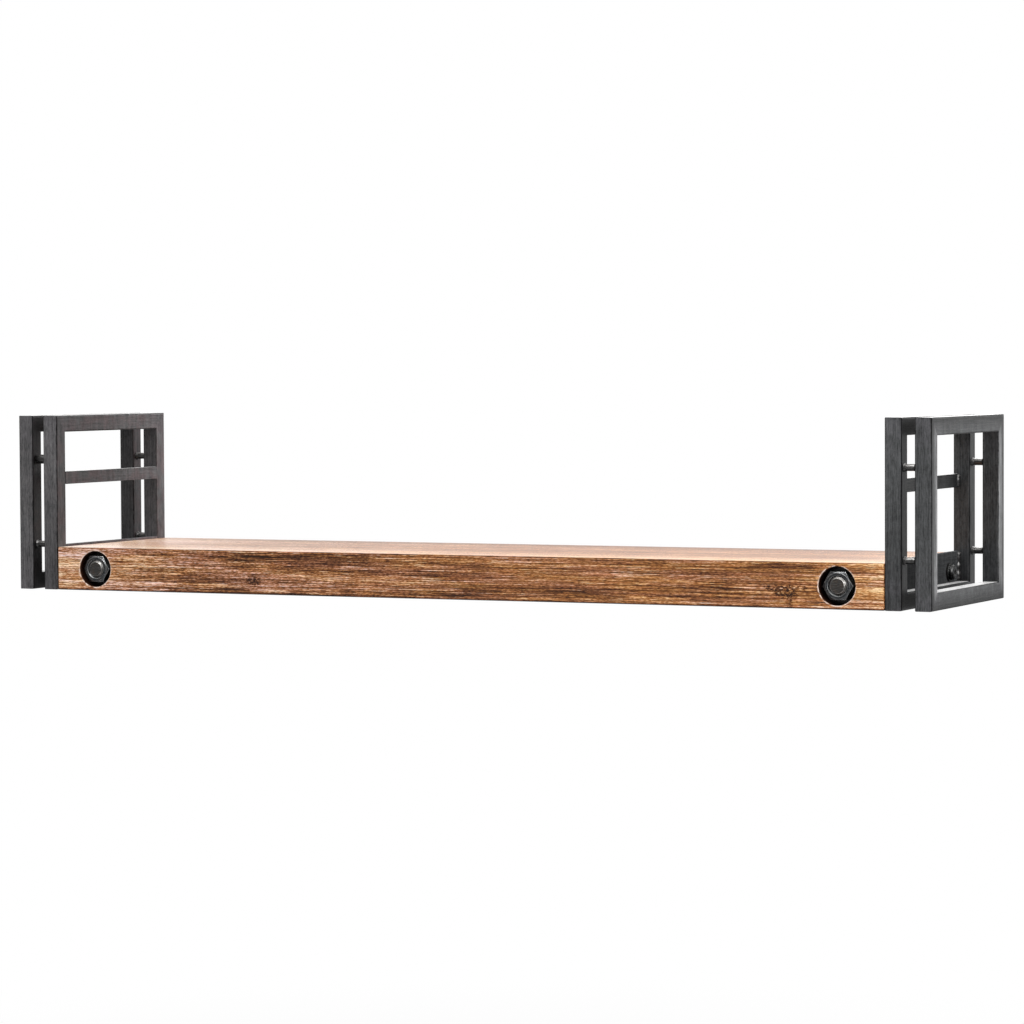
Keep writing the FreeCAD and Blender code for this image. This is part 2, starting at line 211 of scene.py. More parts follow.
def paint(red, green, blue):
    """The colour that shows as these values from 0 to 255 on a plain picture."""
    return (to_light(red), to_light(green), to_light(blue), 1.0)


def place_in_mm(net):
    """The object's own coordinates in millimetres."""
    spot = net.add("TexCoord").outputs["Object"]
    return net.vector("MULTIPLY", spot, (PER_METRE, PER_METRE, PER_METRE))


# Effects that several finishes share

# Metal that faces this way gets a painted highlight: right, a little to the front, and up
PAINTED_LIGHT_WAY = (0.45, -0.25, 0.86)

# Limits of a noise, between which its mask rises from empty to full
EVEN = (0.36, 0.64)
SPARSE = (0.58, 0.68)
SPECKLED = (0.5, 0.7)
GRAIN_ROUGHNESS = 0.6
PATCH_DETAIL = 3.0
BEVEL_SAMPLES = 6

# Soft steps, here and below: where they start and end, then the results at both ends if not 0 and 1
WEAR_IN_PATCHES = (0.35, 0.6, 0.35, 1.0)
EDGE_HIGHLIGHT_FACING = (0.25, 0.6, 0.12, 1.0)
ARRIS_ROUNDING = (0.998, 0.86)
ARRIS_IN_PATCHES = (0.3, 0.6, 0.75, 1.0)


def make_grain():
    """Noise drawn out along the first axis of its vector, lifted to a mask between two levels."""
    inputs = {
        "Vector": ("Vector", None), "Length": ("Float", 30.0), "Width": ("Float", 1.0),
        "Detail": ("Float", 2.0), "Low": ("Float", 0.35), "High": ("Float", 0.65),
    }
    group, net, given, result = new_group("grain", inputs, "Mask")
    size = net.combine(given["Length"], given["Width"], given["Width"])
    noise = net.noise(net.vector("DIVIDE", given["Vector"], size), given["Detail"], GRAIN_ROUGHNESS)
    net.feed(result, net.ease(noise[0], given["Low"], given["High"]))
    return group


def patches(net, given):
    """Noise in patches of the size that a group is given."""
    size = net.combine(given["Patch"], given["Patch"], given["Patch"])
    return net.noise(net.vector("DIVIDE", given["Vector"], size), PATCH_DETAIL)[0]


def make_wear_and_highlight():
    """Mask of a solid's worn edges, broken up into patches, with a painted highlight where they face the
    light.
    """
    inputs = {
        "Vector": ("Vector", None), "Radius": ("Float", 0.001),
        "Patch": ("Float", 6.0), "Gain": ("Float", 8.0),
    }
    group, net, given, result = new_group("wear_and_highlight_mask", inputs, "Mask")
    rounded = net.add("Bevel", {"Radius": given["Radius"]}, samples=BEVEL_SAMPLES).outputs[0]
    turn = net.minus(1.0, net.vector("DOT_PRODUCT", rounded, net.normal()))
    edge = net.times(turn, given["Gain"])
    kept = net.ease(patches(net, given), *WEAR_IN_PATCHES)
    # Edges that face the light's way are brighter: a painted highlight
    lit = net.ease(net.vector("DOT_PRODUCT", rounded, PAINTED_LIGHT_WAY), *EDGE_HIGHLIGHT_FACING)
    net.feed(result, net.clamp(net.times(edge, kept, lit)))
    return group


def make_arris():
    """Mask of the rounded corners between flat faces that lie square to the axes, in patches."""
    inputs = {"Vector": ("Vector", None), "Patch": ("Float", 6.0)}
    group, net, given, result = new_group("arris", inputs, "Mask")
    facing = net.split(net.vector("ABSOLUTE", net.normal()))
    flatness = net.highest(facing["X"], facing["Y"], facing["Z"])
    corner = net.ease(flatness, *ARRIS_ROUNDING)
    net.feed(result, net.times(corner, net.ease(patches(net, given), *ARRIS_IN_PATCHES)))
    return group


def make_blotch():
    """Soft capsule between two points of the plank's front, fading out behind it."""
    inputs = {
        "Vector": ("Vector", None), "Start": ("Vector", None), "End": ("Vector", None),
        "Radius": ("Float", 5.0), "Reach": ("Float", 30.0), "Softness": ("Float", 0.7),
    }
    group, net, given, result = new_group("blotch", inputs, "Mask")
    run = net.vector("SUBTRACT", given["End"], given["Start"])
    away = net.vector("SUBTRACT", given["Vector"], given["Start"])
    flat = net.vector("MULTIPLY", away, (1.0, 0.0, 1.0))
    along = net.math("DIVIDE", net.vector("DOT_PRODUCT", flat, run), net.vector("DOT_PRODUCT", run, run))
    nearest = net.add("VectorMath", {0: run, "Scale": net.clamp(along)}, operation="SCALE")
    distance = net.vector("LENGTH", net.vector("SUBTRACT", flat, nearest.outputs[0]))
    share = net.math("DIVIDE", distance, given["Radius"])
    depth = net.math("DIVIDE", net.split(given["Vector"])["Y"], given["Reach"])
    inner = net.minus(1.0, given["Softness"])
    net.feed(result, net.ease(net.plus(share, net.times(depth, depth)), inner, 1.0, 1.0, 0.0))
    return group


GRAIN = make_grain()
WEAR_AND_HIGHLIGHT = make_wear_and_highlight()
ARRIS = make_arris()
BLOTCH = make_blotch()


def grain(net, vector, length, width, limits, detail, shift=None):
    """A pattern of this length and width in millimetres. A shift takes it from elsewhere in the noise."""
    if shift:
        vector = net.vector("ADD", vector, shift)
    low, high = limits
    inputs = {"Vector": vector, "Length": length, "Width": width, "Detail": detail, "Low": low, "High": high}
    return net.shared(GRAIN, inputs)


def arris(net, vector, patch):
    return net.shared(ARRIS, {"Vector": vector, "Patch": patch})


def wear_and_highlight_mask(net, vector, radius, patch, gain):
    return net.shared(WEAR_AND_HIGHLIGHT, {"Vector": vector, "Radius": radius, "Patch": patch, "Gain": gain})


# Wood of the plank: lengths in millimetres from its left, front, bottom corner

plank_low, plank_high = (corner * PER_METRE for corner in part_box("plank"))

# Tones of the wood from its darkest fibres to its palest
WOOD_TONES = (
    (0.0, paint(40, 22, 12)),
    (0.25, paint(88, 53, 30)),
    (0.5, paint(143, 92, 56)),
    (0.75, paint(199, 142, 98)),
    (1.0, paint(250, 221, 194)),
)
MIDDLE_TONE = 0.53
# How much paler the wood gets along the plank: (distance from the left end, lift)
LIFTS = (
    (0, 0.31), (25, 0.27), (80, 0.11), (120, 0.03), (160, -0.04), (260, -0.05), (340, -0.01), (440, -0.08),
    (500, -0.04), (560, -0.05), (640, 0.01), (690, -0.02), (770, 0.01), (800, 0.11), (829, 0.22),
)
# A curve holds no negative values, so the lifts are kept this far up in it
CURVE_MIDDLE = 0.5
# Layers of fibres: length, width, detail, and how far they move the tone up or down
FIBRE_LAYERS = (
    (420.0, 7.0, 2.0, 0.2),
    (300.0, 2.6, 2.0, 0.14),
    (220.0, 1.0, 2.0, 0.24),
    (90.0, 0.45, 1.0, 0.36),
    (20.0, 0.42, 1.0, 0.34),
    (3.5, 0.7, 2.0, 0.38),
)
# Fibres shorter than this make the plank's left half rough, and fade towards the right
SHORT_FIBRES = 30.0
SHORT_FIBRES_ALONG = (150.0, 520.0, 1.0, 0.75)
# Pushes of the pattern: size of their noise, its detail, and how far they reach
FIBRE_WANDER = ((160.0, 45.0, 45.0), 2.0, (0.0, 2.5, 2.5))
KNOT_FRAY = ((4.0, 3.0, 1.6), 3.0, (10.0, 0.0, 9.0))
# The pith lies this far behind the front and below the plank, and sinks to the right
PITH_BEHIND = 128.0
PITH_BELOW = 74.0
PITH_SLOPE = 0.012
RING_WIDTH = 6.3
RING_SHARPNESS = 3.0
# Patterns: length, width, limits and detail of the noise, and a shift where one is like another
WOOD_GRAINS = {
    "pores": (7.0, 0.5, SPARSE, 1.0),
    "pale_lines": (30.0, 0.5, SPARSE, 1.0, (300.0, 70.0, 30.0)),
    "char": (2.8, 1.0, (0.44, 0.58), 3.0),
    "flecks": (2.6, 1.0, (0.52, 0.6), 2.0, (50.0, 0.0, 7.0)),
    "flush": (70.0, 6.0, EVEN, 2.0, (40.0, 20.0, 90.0)),
    "blush": (45.0, 2.5, (0.52, 0.68), 2.0, (90.0, 60.0, 30.0)),
    "rim_patches": (5.0, 5.0, (0.38, 0.58), 2.0),
}
# Size of the dark lines, and how the pale ones fade along the plank
DARK_LINE_SIZE = (70.0, 0.5, 0.5)
PALE_LINES_ALONG = (200.0, 600.0, 0.38, 0.2)
# Darker places seen on the front: start and end as (distance from the left end, height), then the radius
DARK_STREAKS = {
    "cracks_beside_left_nut": ((92, 21), (138, 22), 4.0),
    "lower_edge_left": ((130, 5), (205, 4), 5.0),
    "upper_edge_left": ((195, 35), (330, 36), 6.0),
    "lower_middle": ((430, 8), (466, 8), 3.0),
    "upper_edge_right": ((545, 38), (625, 38), 4.0),
    "band_before_right_knot": ((600, 16), (700, 16), 2.5),
    "above_right_knot": ((706, 37), (765, 36), 4.0),
    "beside_right_nut": ((757, 18), (772, 18), 2.0),
}
KNOTS = {
    "left_knot": ((211, 13), (215, 13), 7.5),
    "right_knot_stem": ((743, 3), (742, 10), 4.0),
    "right_knot_heart": ((737, 14), (746, 13), 6.5),
    "right_knot_left_arm": ((737, 11), (722, 18), 3.5),
    "right_knot_top": ((730, 18), (757, 18), 2.5),
}
# How far these marks reach behind the front, and how soft their edges are
STREAK_SPREAD = (30.0, 0.9)
KNOT_SPREAD = (25.0, 0.8)
# How far each mark moves the tone, and how many more dark lines there are in the streaks
DARK_LINE_DEPTH = 0.3
STREAK_DEPTH = 0.1
STREAK_CROWDING = 0.1
LATE_WOOD_DEPTH = 0.1
PORE_DEPTH = 0.26
KNOT_DEPTH = 0.14
CHAR_DEPTH = 0.62
FLECK_LIFT = 0.4
RIM_HIGHLIGHT_LIFT = 0.1
# The plank's corners darken, most near the bottom, and its lower edge gets painted shade, up from the bottom
ARRIS_PATCH = 14.0
CORNER_DARKENING = (1.0, 6.0, -0.5, -0.3)
LOWER_EDGE_SHADE = (0.6, 2.4, -0.4, 0.0)
# The top, painted paler as light falls on it: how it faces, its lift back from the front, and what it loses
# to the right and far back
TOP_FACING = (0.85, 0.98)
TOP_LIGHT_LIFT = (0.0, 80.0, 0.5, 0.14)
TOP_LIGHT_LOSS_RIGHT = (300.0, 600.0, 0.0, 0.04)
TOP_LIGHT_LOSS_BACK = (155.0, 190.0, 0.0, 0.2)
# The palest tones turn to frost
FROSTED_TONES = (0.95, 1.35, 0.0, 0.9)
FROST = paint(255, 244, 236)
# Tints: pink at the left end, orange at the right one, red in blushes, and warmer on the top's right
PINK = (0.99, 0.94, 1.05, 1.0)
ORANGE = (1.06, 1.0, 0.7, 1.0)
RED = (1.12, 0.87, 0.86, 1.0)
TOP_WARM_TINT = (1.0, 0.89, 0.76, 1.0)
ORANGE_ALONG = (0.0, 800.0, -0.1, 0.3)
TOP_WARM_ALONG = (130.0, 480.0)
FLUSH_DEPTH = 0.8
BLUSH_DEPTH = 0.4
# The counterbores in the front: distance of their centres from the plank's ends, and their radius
LEFT_BORE = 41.2
RIGHT_BORE = 43.2
BORE_RADIUS = 17.0
# Their rims, which get a painted highlight: how deep they are, and how they fade round the bores
RIM_DEPTH = 0.5
RIM_FADE = (BORE_RADIUS + 1.2, BORE_RADIUS + 0.5)
RIM_HIGHLIGHT = paint(238, 218, 204)
RIM_HIGHLIGHT_DEPTH = 0.8
# Their dark walls in painted shade: how far out they count, where they begin and end, and how they darken
# inwards
WALL_REACH = BORE_RADIUS + 1.0
WALL_START = (0.5, 1.0)
WALL_END = 60.0
WALL_SHADE_DEPTH = (1.0, 14.0)
DARK_WALL_NEAR_RIM = paint(52, 27, 17)
SHADED_WALL_DEEP = paint(18, 13, 10)
# Oiled surface, rougher where it is dark. A bump is its strength, then its height in millimetres.
WOOD_ROUGHNESS = (0.2, 0.9, 0.62, 0.45)
WOOD_OIL = {"Specular IOR Level": 0.15, "Coat Weight": 0.7, "Coat Roughness": 0.3, "Coat IOR": 1.25}
WOOD_BUMP = (0.4, 0.2)
PORE_HEIGHT = -0.5


def blotches(net, spot, table, reach, softness):
    """The strongest of the named marks at each point."""
    total = 0.0
    for (start_x, start_z), (end_x, end_z), radius in table.values():
        inputs = {
            "Vector": spot, "Start": (start_x, 0.0, start_z), "End": (end_x, 0.0, end_z),
            "Radius": radius, "Reach": reach, "Softness": softness,
        }
        total = net.highest(total, net.shared(BLOTCH, inputs))
    return total


def bore_masks(net, corner):
    """Masks of the counterbores' dark walls, in painted shade, and of their rims, with a painted highlight.
    """
    x, y, z = net.split(corner)
    length = plank_high.x - plank_low.x
    middle = (plank_high.z - plank_low.z) / 2
    from_left_bore = net.absolute(net.minus(x, LEFT_BORE))
    from_right_bore = net.absolute(net.minus(x, length - RIGHT_BORE))
    aside = net.math("MINIMUM", from_left_bore, from_right_bore)
    away = net.vector("LENGTH", net.combine(aside, 0.0, net.minus(z, middle)))
    within = net.math("LESS_THAN", away, WALL_REACH)
    depth = net.times(net.ease(y, *WALL_START), net.math("LESS_THAN", y, WALL_END))
    rim = net.times(net.math("LESS_THAN", y, RIM_DEPTH), net.ease(away, *RIM_FADE))
    return net.times(within, depth), rim


def lift_along(net, x):
    """A curve that raises the tone near the plank's two pale ends."""
    length = LIFTS[-1][0]
    curve = net.add("FloatCurve", {"Value": net.math("DIVIDE", x, length)})
    points = curve.mapping.curves[0].points
    while len(points) < len(LIFTS):
        points.new(CURVE_MIDDLE, CURVE_MIDDLE)
    for point, (distance, lift) in zip(points, LIFTS):
        point.location = (distance / length, CURVE_MIDDLE + lift)
    curve.mapping.update()
    return net.minus(curve.outputs[0], CURVE_MIDDLE)


def push(net, vector, size, detail, reach):
    """The vector moved about by a soft noise."""
    noise = net.noise(net.vector("DIVIDE", vector, size), detail)
    moved = net.vector("SUBTRACT", noise["Color"], (0.5, 0.5, 0.5))
    return net.vector("ADD", vector, net.vector("MULTIPLY", moved, reach))


def late_wood(net, spot):
    """Mask of the dark outer part of each ring round the pith."""
    x, y, z = net.split(spot)
    across = net.minus(y, PITH_BEHIND)
    rise = net.plus(z, PITH_BELOW, net.times(x, PITH_SLOPE))
    radius = net.vector("LENGTH", net.combine(0.0, across, rise))
    ring = net.math("FRACT", net.math("DIVIDE", radius, RING_WIDTH))
    return net.math("POWER", ring, RING_SHARPNESS)


def fibre_tone(net, spot, x):
    """The tone of the plain wood, from its layers of fibres, its rings and its place along the plank."""
    roughness = net.ease(x, *SHORT_FIBRES_ALONG)
    tone = MIDDLE_TONE
    for length, width, detail, amount in FIBRE_LAYERS:
        layer = grain(net, spot, length, width, EVEN, detail)
        if length < SHORT_FIBRES:
            amount = net.times(roughness, amount)
        tone = net.plus(tone, net.times(net.minus(layer, 0.5), amount))
    tone = net.minus(tone, net.times(late_wood(net, spot), LATE_WOOD_DEPTH))
    return net.plus(tone, lift_along(net, x))


def add_lines(net, tone, spot, x, pores):
    """The tone with dark lines, most of them in the streaks, and with pores and pale lines."""
    streaks = blotches(net, spot, DARK_STREAKS, *STREAK_SPREAD)
    lines = net.noise(net.vector("DIVIDE", spot, DARK_LINE_SIZE))[0]
    dark_lines = net.ease(net.plus(lines, net.times(streaks, STREAK_CROWDING)), *SPARSE)
    tone = net.minus(tone, net.times(dark_lines, DARK_LINE_DEPTH))
    tone = net.minus(tone, net.times(streaks, STREAK_DEPTH))
    tone = net.minus(tone, net.times(pores, PORE_DEPTH))
    pale_lines = grain(net, spot, *WOOD_GRAINS["pale_lines"])
    return net.plus(tone, net.times(pale_lines, net.ease(x, *PALE_LINES_ALONG)))


def add_knots(net, tone, spot, corner):
    """The tone with brown knots that hold a tangle of black cracks and pale flecks."""
    knots = blotches(net, push(net, corner, *KNOT_FRAY), KNOTS, *KNOT_SPREAD)
    char = grain(net, spot, *WOOD_GRAINS["char"])
    flecks = grain(net, spot, *WOOD_GRAINS["flecks"])
    tone = net.minus(tone, net.times(knots, KNOT_DEPTH))
    tone = net.minus(tone, net.times(knots, char, CHAR_DEPTH))
    return net.plus(tone, net.times(knots, flecks, FLECK_LIFT))


def add_edges(net, tone, corner, z, rim):
    """The tone with corners darker low down, painted shade on its lower edge, painted highlights on bore
    rims.
    """
    edge = net.times(arris(net, corner, ARRIS_PATCH), net.ease(z, *CORNER_DARKENING))
    edge = net.plus(edge, net.ease(z, *LOWER_EDGE_SHADE))
    return net.plus(tone, edge, net.times(rim, RIM_HIGHLIGHT_LIFT))


def light_the_top(net, tone, x, y, top):
    """The tone with painted light on the top, palest towards its front."""
    painted_top_light = net.ease(y, *TOP_LIGHT_LIFT)
    painted_top_light = net.minus(painted_top_light, net.ease(x, *TOP_LIGHT_LOSS_RIGHT))
    painted_top_light = net.minus(painted_top_light, net.ease(y, *TOP_LIGHT_LOSS_BACK))
    return net.plus(tone, net.times(top, painted_top_light))


def wood_colour(net, tone, spot, x, top):
    """The colour of a tone, tinted along the plank, with flushes and blushes in between."""
    colour = net.mix(net.ease(tone, *FROSTED_TONES), net.ramp(tone, WOOD_TONES), FROST)
    flush = grain(net, spot, *WOOD_GRAINS["flush"])
    blush = grain(net, spot, *WOOD_GRAINS["blush"])
    warmth = net.plus(net.ease(x, *ORANGE_ALONG), net.times(flush, FLUSH_DEPTH))
    tint = net.mix(warmth, PINK, ORANGE)
    tint = net.mix(net.times(blush, BLUSH_DEPTH), tint, RED)
    colour = net.mix(1.0, colour, tint, "MULTIPLY")
    warmed_top = net.times(top, net.ease(x, *TOP_WARM_ALONG))
    return net.mix(warmed_top, colour, net.mix(1.0, colour, TOP_WARM_TINT, "MULTIPLY"))


def make_plank_wood():
    """Brushed and oiled wood with rings, fibres, knots and grimy edges."""
    material, net, finish = new_material("plank_wood")
    corner = net.vector("SUBTRACT", place_in_mm(net), tuple(plank_low))
    x, y, z = net.split(corner)
    spot = push(net, corner, *FIBRE_WANDER)
    top = net.ease(net.split(net.normal())["Z"], *TOP_FACING)
    inside, rim = bore_masks(net, corner)
    pores = grain(net, spot, *WOOD_GRAINS["pores"])
    tone = fibre_tone(net, spot, x)
    tone = add_lines(net, tone, spot, x, pores)
    tone = add_knots(net, tone, spot, corner)
    tone = add_edges(net, tone, corner, z, rim)
    tone = light_the_top(net, tone, x, y, top)
    colour = wood_colour(net, tone, spot, x, top)
    # The bores' rims get a painted highlight, in patches
    rim_highlight = net.times(rim, grain(net, corner, *WOOD_GRAINS["rim_patches"]), RIM_HIGHLIGHT_DEPTH)
    colour = net.mix(rim_highlight, colour, RIM_HIGHLIGHT)
    # The walls darken inwards: painted shade in the recess
    shaded_wall = net.mix(net.ease(y, *WALL_SHADE_DEPTH), DARK_WALL_NEAR_RIM, SHADED_WALL_DEEP)
    net.feed(finish["Base Color"], net.mix(inside, colour, shaded_wall))
    net.feed(finish["Roughness"], net.ease(tone, *WOOD_ROUGHNESS))
    net.feed(finish["Normal"], net.bump(*WOOD_BUMP, net.plus(tone, net.times(pores, PORE_HEIGHT))))
    set_constants(finish, WOOD_OIL)
    return material


# Blackened steel of the frames: lengths in millimetres from the shelf's middle and up from its bottom

half_depth = cad_high.y * PER_METRE
full_height = cad_high.z * PER_METRE

STEEL_GRAINS = {
    "brushed": (30.0, 0.8, EVEN, 3.0),
    "streaks": (70.0, 2.2, EVEN, 3.0),
    "clouds": (14.0, 14.0, (0.32, 0.68), 4.0),
    "mottle": (5.0, 1.3, EVEN, 3.0, (60.0, 20.0, 9.0)),
    "speckle": (1.5, 1.5, SPECKLED, 3.0),
    "grinding": (30.0, 5.0, EVEN, 2.0),
}
CORNER_PATCH = 9.0
# The steel is paler and warmer on the left. Faces count as sides by how far they turn to the side.
RIGHT_STEEL = paint(74, 75, 76)
LEFT_STEEL = paint(92, 91, 92)
WARM_STEEL = paint(90, 79, 80)
LEFT_ACROSS = (200.0, -200.0)
SIDE_FACING = (0.6, 0.9, 0.1, 1.0)
# It is bluish round the welded corners
HEATED_STEEL = paint(90, 87, 92)
HEATED_REACH = (42.0, 12.0)
HEATED_DEPTH = 0.35
# The outermost sides get painted light in streaks, but not near their ends
SIDE_LIGHT_STEEL = paint(150, 150, 151)
OUTER_FACES = (455.0, 456.8)
SIDE_LIGHT_FROM_ENDS = (4.0, 22.0)
LEAST_SIDE_LIGHT = 0.3
# The steel's own tone, how much paler it is without gloss, and how far each layer moves it
MIDDLE_SHADE = 0.42
DULL_SHADE = 0.6
SHADE_AMOUNTS = {
    "brushed": 0.42, "streaks": 0.36, "clouds": 0.3, "mottle": 0.42, "speckle": -0.3,
    # The corners' share darkens the rounded corners: painted shade
    "grinding": 0.5, "corners": -0.75,
}
# How it reflects with full gloss, and how rough it is
STEEL_METALLIC = 0.7
STEEL_SPECULAR = 0.3
STEEL_SHEEN = 0.1
STEEL_COAT = 0.2
COATED_CORNERS = (0.0, 0.8)
STEEL_ROUGHNESS = 0.38
BRUSHED_ROUGHNESS = 0.16
CORNER_ROUGHNESS = 0.25
STEEL_SURFACE = {"Sheen Roughness": 0.22, "Coat Roughness": 0.15, "Coat IOR": 1.25}
STEEL_BUMP = (0.3, 0.12)
# Level faces seen along them get a painted glare, almost white
PAINTED_GLARE = paint(253, 252, 251)
LEVEL_FACING = (0.96, 0.99)
GRAZING_VIEW = (0.8, 0.93)

# Where the steel lies in the shade. Each face counts by how far it turns to the side or to the front.
TO_THE_SIDE = (0.3, 0.7)
TO_THE_FRONT = (0.6, 0.9)
# The gap between the frames of a side: its two borders, its shade back from the front, and the bars' shade
GAP_INNER_BORDER = (415.5, 418.5)
GAP_OUTER_BORDER = (446.0, 443.0)
GAP_SHADE = (-80.0, 60.0, 0.6, 0.34)
BAR_SHADE = (426.0, 421.0, 0.0, 0.42)
# Faces inside the frames that look to the front or back: how they begin, their shade on the left outer
# frame and then on the others, and how much of it is left on the right
WITHIN_FRAME = (88.0, 85.0)
POST_SHADE = (-446.0, -436.0, 0.6, 0.34)
POST_SHADE_RIGHT = (-100.0, 100.0, 1.0, 0.72)
# Sides lose light towards the front, and the outermost ones towards their edges and front corner
SIDE_LOSS = (-60.0, 110.0, 0.56, 0.18)
OUTER_EDGE_LOSS = (0.0, 14.0, 0.8, 0.05)
FRONT_CORNER_LOSS = (-89.5, -94.0, 0.0, 0.75)
# The front of the inner frames: where it lies, and the light it loses as painted shade from its bottom to its
# top
FRONT_PLACE = (-90.0, -95.0)
INNER_FRAMES = (441.0, 436.0)
FRONT_LOSS = (10.0, 155.0, 0.28, -0.22)


def from_outline(net, y, z):
    """Distances of each point from the frames' front or back, and from their top or bottom."""
    return net.minus(half_depth, net.absolute(y)), net.math("MINIMUM", z, net.minus(full_height, z))


def heat_tint(net, y, z):
    """Mask of the steel round the welded corners of the frames."""
    along, up = from_outline(net, y, z)
    return net.ease(net.vector("LENGTH", net.combine(0.0, along, up)), *HEATED_REACH)


def shade_within(net, x, y, sideways, forwards):
    """Shade where the frames and the flat bars face each other, and on the posts' inner faces."""
    from_middle = net.absolute(x)
    between = net.times(net.ease(from_middle, *GAP_INNER_BORDER), net.ease(from_middle, *GAP_OUTER_BORDER))
    amount = net.highest(net.ease(y, *GAP_SHADE), net.ease(from_middle, *BAR_SHADE))
    gap = net.times(sideways, between, amount)
    reach = net.times(net.ease(x, *POST_SHADE), net.ease(x, *POST_SHADE_RIGHT))
    posts = net.times(forwards, net.ease(net.absolute(y), *WITHIN_FRAME, 0.0, reach))
    return net.highest(gap, posts)


def side_loss(net, x, y, z):
    """The painted shade that the frames' sides get towards the front, and the outermost ones towards their
    edges.
    """
    to_edge = net.math("MINIMUM", *from_outline(net, y, z))
    outermost = net.highest(net.ease(to_edge, *OUTER_EDGE_LOSS), net.ease(y, *FRONT_CORNER_LOSS))
    return net.ease(net.absolute(x), *OUTER_FACES, net.ease(y, *SIDE_LOSS), outermost)


def front_loss(net, x, y, z):
    """The painted shade that the front of the inner frames gets downwards."""
    front = net.times(net.ease(y, *FRONT_PLACE), net.ease(net.absolute(x), *INNER_FRAMES))
    return net.times(front, net.ease(z, *FRONT_LOSS))


def shelter(net, x, y, z):
    """How much of its tone the steel keeps at each point under the painted shade."""
    facing = net.split(net.vector("ABSOLUTE", net.normal()))
    sideways = net.ease(facing["X"], *TO_THE_SIDE)
    forwards = net.ease(facing["Y"], *TO_THE_FRONT)
    lit = net.minus(1.0, shade_within(net, x, y, sideways, forwards))
    sides = net.minus(1.0, net.times(sideways, side_loss(net, x, y, z)))
    fronts = net.minus(1.0, net.times(forwards, front_loss(net, x, y, z)))
    return net.times(lit, sides, fronts)


def make_frame_steel(name, along, side_light, gloss):
    """Dark steel whose fine streaks run along one axis. Its third argument paints light onto its outermost
    sides, gloss makes it satin.
    """
    material, net, finish = new_material(name)
    spot = place_in_mm(net)
    x, y, z = net.split(spot)
    lengthwise = net.combine(*{"Y": (y, z, x), "Z": (z, x, y)}[along])
    brushed = grain(net, lengthwise, *STEEL_GRAINS["brushed"])
    streaks = grain(net, lengthwise, *STEEL_GRAINS["streaks"])
    mottle = grain(net, lengthwise, *STEEL_GRAINS["mottle"])
    clouds = grain(net, spot, *STEEL_GRAINS["clouds"])
    speckle = grain(net, spot, *STEEL_GRAINS["speckle"])
    grinding = grain(net, net.combine(z, x, y), *STEEL_GRAINS["grinding"])
    corners = arris(net, spot, CORNER_PATCH)
    facing = net.split(net.normal())
    sideways = net.ease(net.absolute(facing["X"]), *SIDE_FACING)

    leftwards = net.ease(x, *LEFT_ACROSS)
    colour = net.mix(leftwards, RIGHT_STEEL, LEFT_STEEL)
    colour = net.mix(net.times(clouds, leftwards, sideways), colour, WARM_STEEL)
    colour = net.mix(net.times(heat_tint(net, y, z), clouds, HEATED_DEPTH), colour, HEATED_STEEL)
    to_end = from_outline(net, y, z)[1]
    # Painted light on the outermost sides, fading near their ends
    side_lit = net.ease(to_end, *SIDE_LIGHT_FROM_ENDS, 0.0, side_light)
    outer = net.times(net.ease(net.absolute(x), *OUTER_FACES), side_lit, sideways)
    uneven = net.plus(LEAST_SIDE_LIGHT, net.times(streaks, 1 - LEAST_SIDE_LIGHT))
    colour = net.mix(net.times(outer, uneven), colour, SIDE_LIGHT_STEEL)

    layers = {
        "brushed": brushed, "streaks": streaks, "clouds": clouds, "mottle": mottle, "speckle": speckle,
        "grinding": net.times(grinding, sideways), "corners": corners,
    }
    shade = MIDDLE_SHADE + DULL_SHADE * (1 - gloss)
    for layer, amount in SHADE_AMOUNTS.items():
        shade = net.plus(shade, net.times(layers[layer], amount))
    shade = net.times(shade, shelter(net, x, y, z))
    colour = net.mix(1.0, colour, net.combine(shade, shade, shade), "MULTIPLY")

    grazing = net.ease(net.add("LayerWeight", {"Blend": 0.5}).outputs["Facing"], *GRAZING_VIEW)
    glare = net.times(grazing, net.ease(facing["Z"], *LEVEL_FACING, 0.0, gloss))
    net.feed(finish["Base Color"], net.mix(glare, colour, PAINTED_GLARE))
    net.feed(finish["Metallic"], net.ease(glare, 0.0, 1.0, STEEL_METALLIC * gloss, 0.0))
    net.feed(finish["Coat Weight"], net.ease(corners, *COATED_CORNERS, STEEL_COAT * gloss, 0.0))
    roughness = net.plus(STEEL_ROUGHNESS, net.times(brushed, BRUSHED_ROUGHNESS))
    net.feed(finish["Roughness"], net.plus(roughness, net.times(corners, CORNER_ROUGHNESS)))
    net.feed(finish["Normal"], net.bump(*STEEL_BUMP, net.plus(brushed, speckle)))
    satin = {"Specular IOR Level": STEEL_SPECULAR * gloss, "Sheen Weight": STEEL_SHEEN * gloss}
    set_constants(finish, {**satin, **STEEL_SURFACE})
    return material


# Fasteners

METAL_GRAINS = {
    "stains": (3.0, 3.0, (0.42, 0.68), 4.0),
    "scratches": (6.0, 0.35, SPECKLED, 2.0),
}
STAIN_DEPTH = 0.7
STAIN_ROUGHNESS = 0.2
SCRATCH_DEPTH = 0.12
WORN_AND_GLEAM_DEPTH = 0.85
# Radius, patches and gain of the worn edges and their painted highlight
METAL_WEAR_AND_HIGHLIGHT = (0.8 * MM, 3.0, 50.0)
FASTENER_SHADE = paint(16, 15, 15)
# Metal that turns away from the gleam gets painted shade, and stains dull the painted gleam
SHADE_FACING = (-0.5, 0.1, 0.8, 0.0)
GLEAM_IN_STAINS = (0.0, 1.0, 1.0, 0.25)
FULL_GLEAM = 0.85
METAL_OIL = {"Coat Weight": 0.3, "Coat Roughness": 0.12}
METAL_BUMP = (0.3, 0.1)


